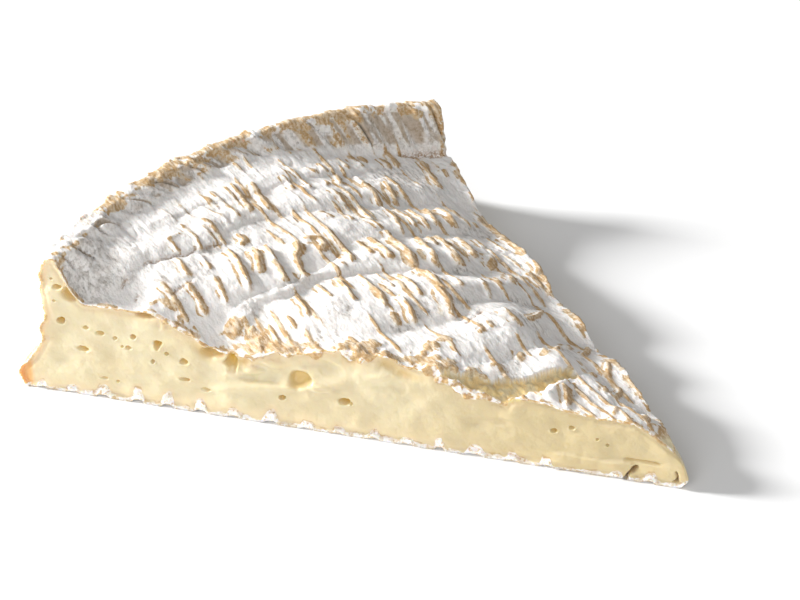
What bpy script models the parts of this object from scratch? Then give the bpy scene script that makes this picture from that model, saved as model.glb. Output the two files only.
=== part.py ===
"""A wedge cut from a flat, low wheel of soft-ripened cheese.

The wheel is turned from its section, its soft top is given its rounded bands and its slump, and a
knife cuts out the wedge. The wedge rests on its flat bottom. Metres, +Z up, origin at the centre of
the bottom of the wedge's box. The tip of the wedge points to +X and the rim faces -X.
"""

import math

import bmesh
import bpy

OBJECT_NAME = "cheese_wedge"
MM = 0.001

# The wheel that the wedge was cut from
FOOT_RADIUS = 183 * MM  # its widest place, low on the side
LIP_HEIGHT = 40.5 * MM  # crest of the raised edge
WHEEL_STEPS = 240  # facets round the whole wheel

# The wedge
WEDGE_ANGLE = math.radians(54.6)
NOSE_RADIUS = 2 * MM  # rounding of the tip at the bottom
NOSE_RADIUS_GROWTH = 0.3  # how much rounder the tip gets per metre of height
NOSE_STEPS = 8

# The soft top
BAND_SPACING = 28 * MM  # broad rounded bands that cross the top
BAND_HEIGHT = 1.2 * MM
BAND_HEADING = math.radians(-22)  # direction in which one band follows another
BAND_START = -35 * MM
TOP_SLUMP = 0.27  # share of its height that the top has lost at the back cut
LIP_SLUMP = 0.15  # the same for the raised edge
SLUMP_BEGINS = 0.45  # share of the way from the front cut to the back cut

KNIFE_REACH = 230 * MM
KNIFE_TOP = 60 * MM
KNIFE_BOTTOM = -10 * MM

# Section of the wheel, (radius, height), from the middle of the top out over the raised edge, down
# the waisted side to the foot, and in along the bottom
TOP_SECTION = [
    (0, 14.1), (20, 17.6), (42, 19.6), (70, 24.4), (84, 25.0), (101, 23.8), (116, 21.2),
    (129, 20.6), (138, 25.4), (147, 29.0), (157, 28.6), (164, 28.4), (167, 32.5), (169.5, 38.0),
    (172.0, 40.5), (174.6, 39.6),
]
SIDE_SECTION = [
    (176.4, 35.0), (176.2, 26.0), (175.4, 22.0), (177.3, 17.5), (177.4, 14.5), (179.4, 10.6),
    (181.4, 7.8), (183.0, 4.7), (182.4, 1.6), (180.6, 0.0),
]
CURVE_STEPS = 2  # extra points between two points of the top's section

RIND_COLOUR = (0.86, 0.82, 0.72, 1.0)
RIND_ROUGHNESS = 0.85


def smoothstep(low, high, value):
    share = min(max((value - low) / (high - low), 0.0), 1.0)
    return share * share * (3 - 2 * share)


def smooth_curve(points, steps):
    """Points of a Catmull-Rom curve through the given ones, without its first point."""
    path = [points[0]] + list(points) + [points[-1]]
    curve = []
    for a, b, c, d in zip(path, path[1:], path[2:], path[3:]):
        for i in range(1, steps + 1):
            t = i / steps
            curve.append(tuple(
                0.5 * (2 * q + (r - p) * t + (2 * p - 5 * q + 4 * r - s) * t ** 2
                       + (3 * q - p - 3 * r + s) * t ** 3)
                for p, q, r, s in zip(a, b, c, d)
            ))
    return curve


def start_clean():
    for obj in list(bpy.data.objects):
        bpy.data.objects.remove(obj, do_unlink=True)


def new_collection(name):
    collection = bpy.data.collections.new(name)
    bpy.context.scene.collection.children.link(collection)
    return collection


def evaluated_mesh(obj):
    """The object's mesh with its modifiers applied."""
    depsgraph = bpy.context.evaluated_depsgraph_get()
    return bpy.data.meshes.new_from_object(obj.evaluated_get(depsgraph))


def turned_wheel(collection):
    """The whole wheel, turned from its section with a Screw modifier."""
    top = [TOP_SECTION[0]] + smooth_curve(TOP_SECTION, CURVE_STEPS)
    section = top + SIDE_SECTION + [(0, 0)]
    profile = bpy.data.meshes.new("wheel_section")
    edges = [(i, i + 1) for i in range(len(section) - 1)]
    profile.from_pydata([(r * MM, 0, z * MM) for r, z in section], edges, [])
    wheel = bpy.data.objects.new("wheel", profile)
    collection.objects.link(wheel)
    screw = wheel.modifiers.new("turn", "SCREW")
    screw.steps = screw.render_steps = WHEEL_STEPS
    screw.use_merge_vertices = True
    screw.merge_threshold = 0.0001
    bpy.context.view_layer.update()
    mesh = evaluated_mesh(wheel)
    bpy.data.objects.remove(wheel)
    return mesh


def relief(x, y, z):
    """Height of a point of the wheel once the top has its bands and has slumped to the back cut."""
    radius = math.hypot(x, y)
    on_lip = smoothstep(157 * MM, 171 * MM, radius)
    along = (x - BAND_START) * math.cos(BAND_HEADING) + y * math.sin(BAND_HEADING)
    fade = smoothstep(20 * MM, 60 * MM, radius) * (1 - on_lip)
    band = BAND_HEIGHT * math.cos(2 * math.pi * along / BAND_SPACING) * fade
    from_front = 0.5 + math.atan2(y, -x) / WEDGE_ANGLE
    slump = TOP_SLUMP + (LIP_SLUMP - TOP_SLUMP) * on_lip
    return (z + band) * (1 - slump * smoothstep(SLUMP_BEGINS, 1.0, from_front))


def soften_top(mesh):
    """Raise and lower the points of the top. The side follows its height and the bottom stays flat."""
    waist = 22 * MM
    for vertex in mesh.vertices:
        x, y, z = vertex.co
        share = 1.0 if math.hypot(x, y) < 172 * MM and z > 0 else smoothstep(0, waist, z)
        vertex.co.z = z + (relief(x, y, z) - z) * share


def nose_outline(radius):
    """Outline of the knife's cut seen from above, with its tip rounded to the given radius."""
    half = WEDGE_ANGLE / 2
    centre_x = -radius / math.sin(half)
    turn = math.pi / 2 - half
    corner_x, corner_y = -KNIFE_REACH, KNIFE_REACH * math.tan(half)
    outline = [(corner_x, corner_y), (corner_x, -corner_y)]
    for i in range(NOSE_STEPS + 1):
        a = -turn + 2 * turn * i / NOSE_STEPS
        outline.append((centre_x + radius * math.cos(a), radius * math.sin(a)))
    return outline


def knife_solid(collection):
    """The space between the two cuts. Its tip gets rounder upwards, so it is a loft."""
    mesh = bpy.data.meshes.new("knife")
    form = bmesh.new()
    rings = []
    for z in (KNIFE_BOTTOM, 0.0, KNIFE_TOP):
        radius = NOSE_RADIUS + NOSE_RADIUS_GROWTH * max(z, 0.0)
        rings.append([form.verts.new((x, y, z)) for x, y in nose_outline(radius)])
    for low, high in zip(rings, rings[1:]):
        for i in range(len(low)):
            j = (i + 1) % len(low)
            form.faces.new((low[i], low[j], high[j], high[i]))
    form.faces.new(rings[-1])
    form.faces.new(reversed(rings[0]))
    bmesh.ops.recalc_face_normals(form, faces=form.faces)
    form.to_mesh(mesh)
    form.free()
    knife = bpy.data.objects.new("knife", mesh)
    collection.objects.link(knife)
    knife.hide_render = True
    knife.display_type = "WIRE"
    return knife


def rind_material():
    material = bpy.data.materials.new("rind")
    material.use_nodes = True
    shader = material.node_tree.nodes["Principled BSDF"]
    shader.inputs["Base Color"].default_value = RIND_COLOUR
    shader.inputs["Roughness"].default_value = RIND_ROUGHNESS
    shader.inputs["Metallic"].default_value = 0.0
    return material


def cheese_wedge(parts, cutters):
    """Cut the wedge out of the wheel and put its box's bottom centre at the origin."""
    wheel_mesh = turned_wheel(cutters)
    soften_top(wheel_mesh)
    wheel = bpy.data.objects.new("wheel", wheel_mesh)
    cutters.objects.link(wheel)
    cut = wheel.modifiers.new("knife", "BOOLEAN")
    cut.operation = "INTERSECT"
    cut.solver = "EXACT"
    cut.object = knife_solid(cutters)
    bpy.context.view_layer.update()
    mesh = evaluated_mesh(wheel)
    mesh.name = OBJECT_NAME
    bpy.data.objects.remove(wheel)

    tip_setback = NOSE_RADIUS / math.sin(WEDGE_ANGLE / 2) - NOSE_RADIUS
    centre = (FOOT_RADIUS + tip_setback) / 2
    for vertex in mesh.vertices:
        vertex.co.x += centre
    wedge = bpy.data.objects.new(OBJECT_NAME, mesh)
    parts.objects.link(wedge)
    mesh.materials.clear()
    mesh.materials.append(rind_material())
    mesh.shade_smooth()
    mesh.set_sharp_from_angle(angle=math.radians(40))
    return wedge


def main():
    start_clean()
    parts = new_collection(OBJECT_NAME)
    cutters = new_collection("cutters")
    cheese_wedge(parts, cutters)


main()
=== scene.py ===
"""Looks of a wedge cut from a flat wheel of soft white-mould cheese.

The wedge is one closed mesh, made from the same driving sizes as its CAD solid: the top's rind with
the ridges that a straw mat pressed into it, the raised edge, the side, the bottom, and the two cut
faces with their holes and torn places. Lengths here are millimetres in the wheel's own place, with
the wheel's centre at the origin and the rim towards -X, until the mesh is put into the frame.
"""

import math

import bpy
import numpy as np
from mathutils import Matrix, Vector
from mathutils.geometry import delaunay_2d_cdt


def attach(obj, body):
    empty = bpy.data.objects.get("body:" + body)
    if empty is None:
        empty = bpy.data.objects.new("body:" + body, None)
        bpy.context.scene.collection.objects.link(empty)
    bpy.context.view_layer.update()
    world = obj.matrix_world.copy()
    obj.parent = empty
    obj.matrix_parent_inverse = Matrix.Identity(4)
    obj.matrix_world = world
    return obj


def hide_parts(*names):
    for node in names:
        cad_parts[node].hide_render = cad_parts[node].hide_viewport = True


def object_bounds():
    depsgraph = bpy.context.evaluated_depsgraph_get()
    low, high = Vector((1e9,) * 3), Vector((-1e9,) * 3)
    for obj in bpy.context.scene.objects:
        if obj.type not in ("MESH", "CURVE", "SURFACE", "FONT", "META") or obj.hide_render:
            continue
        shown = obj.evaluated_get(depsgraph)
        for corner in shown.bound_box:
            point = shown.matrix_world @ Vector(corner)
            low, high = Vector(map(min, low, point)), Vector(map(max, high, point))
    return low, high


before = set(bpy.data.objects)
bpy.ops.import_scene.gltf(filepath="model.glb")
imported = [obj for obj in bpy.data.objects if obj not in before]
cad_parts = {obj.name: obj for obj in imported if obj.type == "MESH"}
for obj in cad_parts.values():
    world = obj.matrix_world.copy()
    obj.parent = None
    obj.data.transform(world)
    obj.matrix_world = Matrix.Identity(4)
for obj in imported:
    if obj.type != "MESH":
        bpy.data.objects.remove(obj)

NODE = "cheese_wedge"
MM = 0.001
CAD_LOW, CAD_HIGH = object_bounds()

# ---------------------------------------------------------------- driving sizes
FOOT_RADIUS = 183.0
HALF_ANGLE = math.asin(CAD_HIGH.y / MM / FOOT_RADIUS)
CENTRE_X = CAD_LOW.x / MM + FOOT_RADIUS
LIP_HEIGHT = (CAD_HIGH.z - CAD_LOW.z) / MM
LIP_BASE_RADIUS = 163.5
LIP_FOOT_HEIGHT = 34.0  # the top's usual height there
SETBACK_LOW = 2.0  # how far the tip stands back from the wheel's centre, at the bottom
SETBACK_GROWTH = 0.265  # and how much more for each mm of height
NOSE_PUSH = 4.1  # how far the tip's soft foot bulges forward again

ROWS = 400  # rows of points on the top, from the tip to the lip's outer edge
SIDE_STEP = 0.8
BOTTOM_STEP = 1.3
FRONT_STEP = 0.38
BACK_STEP = 0.6

# (radius, height): the top's mean section, its edge along the front cut and along the back cut
MEAN_TOP = [(0, 11.0), (4.5, 13.4), (10, 15.6), (25, 18.0), (45, 21.5), (70, 26.0), (95, 28.5),
            (120, 31.0), (145, 34.5), (163.5, 36.6)]
BACK_SLUMP = 0.38  # how much lower the paste has sunk at the back cut
FRONT_EDGE = [(0, 10.6), (5, 14.2), (9, 16.2), (23, 17.6), (38, 19.2), (50, 20.7), (55, 22.0),
              (61, 24.0), (66, 25.0), (71, 23.8), (80, 25.2), (93, 25.8), (104, 23.0), (112, 21.4),
              (122, 20.3), (129, 21.2), (134, 23.8), (139, 26.6), (144, 28.6), (150, 27.8),
              (157, 28.6), (163.5, 28.4)]
BACK_EDGE = [(0, 8.0), (7, 9.6), (16, 11.4), (28, 15.0), (41, 15.8), (53, 12.6), (67, 15.8),
             (80, 14.0), (94, 18.0), (109, 17.0), (123, 14.8), (138, 14.6), (146, 17.5),
             (155, 20.8), (163.5, 22.0)]
LIP_SECTION = [(163.5, 0.0), (165.3, 0.14), (167.4, 0.4), (169.2, 0.72), (170.8, 0.94),
               (172.3, 1.0), (174.0, 0.97), (175.1, 0.90)]  # (radius, share of the lip's rise)
LIP_CREST = [(0, 1.0), (0.55, 1.0), (0.72, 0.985), (0.88, 0.95), (1.0, 0.89)]  # along the rim
SIDE_SECTION = [(175.1, 39.2), (176.2, 35.5), (176.4, 31.0), (176.1, 26.0), (175.4, 22.2),
                (177.2, 18.4), (177.0, 15.2), (179.0, 11.0), (181.5, 8.0), (183.8, 4.8),
                (183.3, 1.6), (181.6, 0.0)]

# Furrows across the top, where the mat's threads lay: (y, x) from the front cut to the back cut
FURROWS = [
    [(-66, -156), (-35, -155), (-10, -151), (10, -149), (40, -148), (66, -147)],
    [(-70, -141), (-56, -142), (-45, -139), (-34, -136), (-24, -141), (-14, -142), (-4, -138),
     (12, -132), (30, -129), (45, -127.5), (60, -125)],
    [(-62, -120), (-50, -117), (-42, -115), (-32, -112), (-20, -110), (-10, -113), (0, -116),
     (15, -112), (30, -111), (46, -109), (60, -102)],
    [(-54, -108), (-42, -112), (-32, -110), (-20, -108), (-11, -105), (1, -97), (10, -93),
     (20, -91), (30, -92), (46, -86), (52, -80)],
    [(-47, -92), (-38, -87), (-25, -77), (-14, -73), (-6, -73), (3, -76), (15, -75), (26, -73),
     (40, -68)],
    [(-34, -65), (-23, -57), (-10, -52), (2, -53), (10, -57), (23, -54), (30, -48)],
    [(-20, -34), (-4, -33), (9, -36), (20, -33)],
]
# How far each band between two furrows rises, from the lip to the tip
BAND_RISES = [0.5, 1.3, 1.6, 1.3, 2.3, 2.3, 1.9, 1.1]

# Ridges that stand out: (start x, start y, end x, end y, half width, height, wear)
RIDGES = [
    (-148, 64, -133, 55.5, 1.1, 1.5, 1), (-141, 67, -137, 65, 0.8, 0.9, 0.8),
    (-136, 70, -132, 68, 1.1, 1.2, 1), (-131, 67, -126, 64, 0.8, 0.9, 0.8),
    (-155, 57.5, -147, 53, 1.3, 1.3, 0.8), (-154, 52, -147, 49.5, 1, 1, 0.8),
    (-157, 46, -151, 44, 1.1, 1, 0.6), (-158, 42, -149, 40.5, 1.2, 1.2, 0.7),
    (-143, 43, -130, 38, 0.8, 1, 0.9), (-140, 39, -128, 31.5, 0.9, 1.4, 1),
    (-157, 36.5, -149, 34.5, 1.1, 1, 0.6), (-147, 34, -129, 25, 0.9, 1.3, 0.9),
    (-156, 26, -149, 25, 1, 1, 0.7), (-149, 28, -141, 21.5, 1.2, 1.3, 0.8),
    (-147, 20.5, -142, 17, 0.9, 0.9, 0.7), (-138, 19.5, -121, 13.5, 0.9, 1.5, 1),
    (-140, 16.5, -131, 12.5, 0.9, 1, 0.6), (-155, 21.5, -149, 20.5, 1, 0.9, 0.6),
    (-155, 14.5, -142, 10.5, 0.9, 1, 0.7), (-153, 9, -144, 5.5, 0.9, 1, 0.7),
    (-133, 13, -128, 12.5, 0.8, 0.8, 0.7), (-128, 10, -123.5, 7.5, 0.8, 1.1, 0.9),
    (-134, 3.5, -127, 3.5, 1, 0.9, 0.8), (-124, 12.2, -115.5, 12, 0.8, 1, 0.8),
    (-116, 13, -96, 3, 0.9, 1.7, 1), (-124, 61, -118, 57.5, 0.9, 1.2, 0.8),
    (-116.5, 53.5, -112.5, 49, 1.1, 1.2, 1), (-123, 52, -119, 48.5, 1, 1, 0.6),
    (-124, 44, -112, 39.5, 1.2, 1.5, 1), (-124.5, 39, -114, 33, 1.1, 1.6, 1),
    (-126, 33.3, -113, 28.5, 1.1, 1.5, 1), (-127, 29, -114.5, 25, 0.8, 1.1, 0.8),
    (-127, 25, -118, 21.5, 0.8, 1.1, 0.8), (-121, 22, -112.5, 17.5, 0.8, 1.2, 0.8),
    (-117, 61, -104, 55, 0.9, 1, 0.8), (-107, 53, -92, 47, 0.9, 1.1, 0.8),
    (-108, 47.5, -96, 44, 0.8, 1, 0.8), (-107, 40.5, -99.5, 38, 1, 1.2, 0.8),
    (-108, 33.5, -94.5, 28, 1.2, 1.6, 1), (-96.5, 36, -90.5, 29.5, 1.1, 1.1, 0.9),
    (-110, 27.5, -92, 18, 1.4, 1.8, 1), (-110.5, 24.5, -103, 20.5, 1, 1.3, 0.9),
    (-110, 19.5, -93.5, 9, 1.3, 1.9, 1), (-113, 10.5, -95.5, 3.5, 0.9, 1.4, 0.9),
    (-116, 5.5, -101.5, 0, 1.2, 1.6, 1), (-116.5, 1.5, -106, -2.5, 0.9, 1.1, 0.8),
    (-97, 3.5, -80, -1, 1.1, 1.4, 0.8), (-88, 45, -81.5, 39.5, 1, 1.1, 0.9),
    (-85, 38.5, -76.5, 37, 1, 1, 0.9), (-86, 33, -80.5, 26.5, 1.3, 1.3, 0.8),
    (-81, 42, -75, 38, 1, 1, 0.9), (-61, 30, -54.5, 28, 1.1, 1, 0.9),
    (-85, 23.5, -78.5, 20, 0.9, 1.1, 0.6), (-83, 15, -74, 9.5, 1, 1.2, 0.5),
    (-89, 7.5, -79, 4.5, 1, 1, 0.7), (-98, -3, -82.5, -9, 1.3, 1.4, 0.7),
    (-84, -1, -72, -8.5, 1.3, 1.9, 0.9), (-102, -7, -91, -11, 0.6, 1, 0.9),
    (-104, -11.5, -85, -20.5, 0.9, 1.6, 1), (-107, -17.5, -93, -25, 1.1, 1.7, 1),
    (-108, -24.5, -98.5, -28, 0.9, 1.4, 1), (-108, -33.5, -97.5, -37.5, 0.8, 1.2, 0.9),
    (-88, -13.5, -76, -18.5, 0.8, 1.6, 0.8), (-84, -20.5, -78, -23, 0.9, 1.2, 0.8),
    (-104, -40, -98, -42.5, 0.6, 0.8, 0.8), (-155, -2, -140, -8, 1.2, 1.5, 0.9),
    (-158, -6.5, -142.5, -13.5, 1, 1.6, 1), (-158.5, -9.5, -144, -14.5, 0.7, 1, 0.8),
    (-159, -15, -142, -18.5, 0.9, 1.2, 0.8), (-159, -18, -149, -19.5, 0.7, 0.9, 0.7),
    (-155, -22.5, -142, -23, 0.8, 1, 0.7), (-159, -27.5, -149.5, -29.5, 0.7, 0.9, 0.5),
    (-149, -28, -135.5, -31, 1, 1.4, 1), (-147, -30.5, -135, -33.5, 0.7, 0.9, 0.8),
    (-161, -33, -151, -34.5, 0.7, 0.9, 0.6), (-151, -34, -137, -39, 0.8, 1.2, 0.9),
    (-137, -40, -128, -44, 0.8, 1.1, 0.7), (-140, -46.5, -129, -50.5, 0.9, 1.4, 0.8),
    (-130, -52.5, -119.5, -54.5, 1, 1.2, 0.9), (-135, -57.5, -121, -60, 0.8, 1.2, 1),
    (-130, -27, -118, -34.5, 0.9, 1.5, 1), (-128.5, -23.5, -112, -32, 1.2, 1.9, 1),
    (-134, -32.5, -115.5, -42.5, 0.9, 1.9, 1), (-127, -45.5, -117.5, -49, 0.7, 1, 0.8),
    (-136, -4, -131.5, -5.5, 0.8, 0.8, 0.8), (-124, -3.5, -107, -9.5, 1.1, 1.6, 1),
    (-110, -12, -106.5, -13, 1.4, 0.9, 0.8), (-107, -45, -98, -48, 0.8, 1.2, 1),
    (-66, 24, -60.5, 9.5, 0.8, 1.1, 0.9), (-50.5, 23.5, -45.5, 14, 0.8, 1.1, 0.9),
    (-53, 18, -49, 11.5, 0.9, 1, 0.8), (-49.5, 10.5, -46.5, 4, 0.8, 1.2, 0.8),
    (-38.5, 17.5, -32.5, 10, 0.9, 1.1, 0.9), (-37, 8, -34.5, 4.5, 0.8, 1.2, 0.8),
    (-29, 10, -23, 1, 0.8, 0.9, 0.8), (-30, 5, -25.5, 0.5, 0.8, 1, 0.8),
    (-20, -2, -15.5, -7, 0.9, 1, 0.6), (-14, 3, -8.5, -1.5, 0.9, 0.8, 0.7),
    (-49.5, 3, -45.5, 0, 0.9, 1, 0.8), (-52, -3.5, -48.5, -8.5, 0.8, 0.9, 0.8),
    (-67, 6.5, -57, 3, 1.4, 1.2, 0.5), (-65, -3, -60, -4.5, 0.9, 1, 0.6),
    (-62.5, -5, -61.5, -10, 0.8, 1, 0.6), (-53, -14.5, -47.5, -17, 1.8, 1.5, 0.7),
    (-34.5, -6, -27.5, -14, 0.9, 1.4, 1),
]
# Curled ridges: (points, half width, height, wear)
CURLS = [
    ([(-124.5, -13), (-121, -8.3), (-118, -9.5), (-117.6, -13)], 1.1, 1.5, 1.0),
    ([(-124, -14.5), (-121, -17.5), (-119, -20.5), (-114.5, -23.5), (-110, -25.5)], 1.3, 1.7, 1.0),
    ([(-139, -24), (-134.5, -24.5), (-132.5, -28.5)], 0.9, 1.0, 0.9),
    ([(-145.5, -37), (-145, -43), (-139, -44.5)], 0.8, 0.9, 0.9),
]
# Crumbled lumps along the front cut: (x, y, radius, height)
LUMPS = [
    (-113, -50.5, 2.4, 1.6), (-109, -48.5, 2.2, 1.8), (-105, -51, 2.8, 2.2), (-100, -48.5, 2.2, 1.4),
    (-95.5, -46, 2, 1.4), (-90, -43.5, 1.6, 1), (-83, -40.5, 2.4, 1.8), (-79, -38.5, 2.2, 1.8),
    (-77, -34, 2, 1.4), (-72, -35.5, 2.6, 2), (-67, -31.5, 2.2, 1.6), (-66, -24, 2.2, 1.6),
    (-65.5, -28, 1.8, 1.6), (-62, -27, 1.8, 1.2), (-58, -26, 2, 1.4), (-66, -19, 2, 1),
    (-128, -60.5, 2.2, 1.4), (-124, -61, 1.6, 1), (-131, -64, 1.6, 1), (-119, -59, 1.6, 0.9),
]
# Grey patches of painted shade on the top, where its slopes and hollows face away from the key lamp
PAINTED_SHADE_PATCHES = [  # (x, y, half length, half width)
    (-131, -47, 9, 4), (-132, -56, 8, 3), (-94, -30, 8, 4), (-90, -39, 6, 5), (-79, -12, 4, 9),
    (-78, -21, 4, 5), (-90, 17, 3, 8), (-140, 50, 10, 12), (-136, 38, 8, 5), (-108, 22, 5, 3),
    (-70, 20, 6, 8), (-60, 10, 5, 6), (-45, 12, 4, 6), (-47, -15, 4, 4), (-50, -10, 4, 3),
    (-76, 1, 4, 4), (-122, 27, 4, 9), (-111, -30, 2, 6), (-30, -8, 2, 5), (-150, -62, 5, 3),
    (-112, -44, 5, 3), (-145, -62, 6, 4), (-137, -36, 3, 4), (-110, 46, 4, 8),
]

# Holes of the front cut: (radius, height, half length, half height)
FRONT_HOLES = [
    (172.8, 34.2, 0.5, 0.4), (171.2, 32.2, 1.5, 0.9), (172.3, 28, 0.5, 0.4), (171, 21.9, 1.4, 1.1),
    (163.9, 20.8, 0.8, 0.6), (159.8, 19.9, 1.3, 0.8), (155.7, 18.9, 0.7, 0.6), (150.5, 20.1, 1, 0.9),
    (153.6, 16.8, 0.5, 0.5), (152, 16.8, 0.8, 0.6), (143.7, 18.8, 1.1, 1.6), (141, 16.7, 0.7, 0.6),
    (145, 13.6, 0.6, 0.6), (164.9, 14.4, 1.5, 0.9), (136.5, 14.9, 1.1, 0.7), (136.2, 9.8, 1.5, 0.5),
    (130.2, 7.4, 1.5, 0.5), (159, 6.3, 1, 0.35), (155.3, 5.7, 0.5, 0.4), (122.8, 16.8, 1.7, 2.8),
    (109, 8.5, 0.9, 0.8), (91.5, 10.7, 1.6, 1.1), (89.5, 10.4, 0.5, 0.5), (34.6, 11.4, 1, 0.7),
    (29.6, 12.9, 0.8, 0.5), (22.5, 11, 0.5, 0.4), (19.8, 9.6, 0.5, 0.5),
]
# Wider and softer hollows of the front cut, with their depth
FRONT_HOLLOWS = [
    (128.4, 19.3, 3.2, 1.4, 2.2), (104.2, 14.6, 3.2, 2.4, 2), (166.8, 30.6, 3.2, 2, 2.4),
    (146.7, 27.3, 2.7, 0.8, 2.2), (119, 12.8, 3.4, 1.6, 0.9), (97, 18.8, 6, 2.2, 0.7),
    (84, 18.6, 7, 2.4, -0.6), (77, 17.6, 3, 2.6, 0.6), (49.4, 11.4, 3.4, 1.6, 0.4),
    (112, 18.2, 5, 1.6, -0.8), (98, 13.6, 4, 1.2, -0.9), (116, 15.4, 3, 1, -0.9),
]


# ---------------------------------------------------------------- numbers
def lattice(ix, iy, iz, seed):
    """A repeatable number from -1 to 1 for each point of a lattice."""
    h = (ix * 374761393 + iy * 668265263 + iz * 1274126177 + seed * 974634777) & 0xFFFFFFFF
    h = ((h ^ (h >> 13)) * 1103515245) & 0xFFFFFFFF
    h = ((h ^ (h >> 15)) * 2246822519) & 0xFFFFFFFF
    return ((h ^ (h >> 16)) & 0xFFFFFF) / 8388607.5 - 1.0


def noise(points, size, seed):
    """Smooth noise from -1 to 1, with bumps about size apart. size is a number or one per axis."""
    q = points / np.asarray(size, float)
    cell = np.floor(q).astype(np.int64)
    t = q - cell
    t = t * t * (3 - 2 * t)
    total = np.zeros(len(q))
    for dx in (0, 1):
        for dy in (0, 1):
            for dz in (0, 1):
                corner = np.array([dx, dy, dz])
                weight = np.where(corner, t, 1 - t).prod(axis=1)
                total += weight * lattice(*(cell + corner).T, seed)
    return total


def fractal(points, size, seed):
    """Noise with finer and finer bumps on it."""
    return sum(noise(points, size / 2 ** k, seed + 17 * k) * 0.55 ** k for k in range(3))


def flat_points(a, b):
    """Two columns of numbers as points that noise can read."""
    return np.c_[a, b, 0 * a]


def ramp(low, high, value):
    """0 below low, 1 above high and smooth between them; low may be the greater of the two."""
    t = np.clip((value - low) / (high - low), 0, 1)
    return t * t * (3 - 2 * t)


def curve(points, value):
    """A smooth curve through (position, value) points, read at the given positions."""
    xs, ys = np.array(points, float).T
    slopes = np.gradient(ys, xs)
    i = np.clip(np.searchsorted(xs, value) - 1, 0, len(xs) - 2)
    width = xs[i + 1] - xs[i]
    t = np.clip((value - xs[i]) / width, 0, 1)
    return (
        (1 + 2 * t) * (1 - t) ** 2 * ys[i]
        + t * (1 - t) ** 2 * width * slopes[i]
        + t * t * (3 - 2 * t) * ys[i + 1]
        + t * t * (t - 1) * width * slopes[i + 1]
    )


# ---------------------------------------------------------------- the two cuts
SIN_HALF, COS_HALF = math.sin(HALF_ANGLE), math.cos(HALF_ANGLE)


def cut_frame(side):
    """Outward direction along a cut and the cut's outward normal; side is -1 at the front."""
    return np.array([-COS_HALF, side * SIN_HALF]), np.array([SIN_HALF, side * COS_HALF])


def depth_inside(x, y, side):
    """Distance from a cut's plane into the cheese."""
    normal = cut_frame(side)[1]
    return -(x * normal[0] + y * normal[1])


# ---------------------------------------------------------------- the top's relief
FIRST_BAND_RADIUS = 161.0  # where the first band starts, at the lip's foot


def furrow_x(k, y):
    """x of furrow k at the given y; -1 is the first band's edge along the lip."""
    if k < 0:
        return -np.sqrt(np.maximum(FIRST_BAND_RADIUS ** 2 - np.square(y), 1.0))
    ys, xs = np.array(FURROWS[k], float).T
    return np.interp(y, ys, xs)


def band_relief(x, y):
    """Height of the rounded bands between the furrows. Each falls off steeply towards the tip."""
    wobble = 1.6 * noise(flat_points(x, y), 11.0, 3)
    lines = [furrow_x(k, y) + (wobble if k >= 0 else 0) for k in range(-1, len(FURROWS))]
    lines.append(np.zeros_like(x))
    relief = np.zeros_like(x)
    for left, right, rise in zip(lines, lines[1:], BAND_RISES):
        width = np.maximum(right - left, 1.0)
        u = (x - left) / width
        inside = (u >= 0) & (u < 1)
        shape = np.sin(np.pi * np.clip(u, 0, 1) ** 1.6) - 0.55
        relief += np.where(inside, rise * np.minimum(width / 18, 1) * shape, 0)
    return relief


def ridge_line(x0, y0, x1, y1):
    """Points of a ridge that bends a little towards the front cut as it runs to the tip."""
    start, end = np.array([x0, y0], float), np.array([x1, y1], float)
    along = end - start
    length = np.hypot(*along)
    across = np.array([-along[1], along[0]]) / length
    t = np.linspace(0, 1, max(3, int(length / 2)))[:, None]
    return start + t * along + 0.28 * length ** 0.8 * (t * (1 - t)) * across


def along_line(points, line):
    """Signed distance of points from a line and the place along it, from 0 to 1."""
    best = np.full(len(points), 1e9)
    signed = np.zeros(len(points))
    place = np.zeros(len(points))
    for i, (a, b) in enumerate(zip(line, line[1:])):
        ab = b - a
        t = np.clip(((points - a) @ ab) / (ab @ ab), 0, 1)
        off = points - (a + t[:, None] * ab)
        dist = np.hypot(off[:, 0], off[:, 1])
        near = dist < best
        cross = ab[0] * off[:, 1] - ab[1] * off[:, 0]
        best = np.where(near, dist, best)
        signed = np.where(near, np.sign(cross) * dist, signed)
        place = np.where(near, (i + t) / (len(line) - 1), place)
    return signed, place


def near_line(points, line, reach):
    """Indices of the points in the box round a line, with reach to spare."""
    return np.flatnonzero(((points > line.min(0) - reach) & (points < line.max(0) + reach)).all(1))


RIDGE_REACH = 9.0


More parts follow.
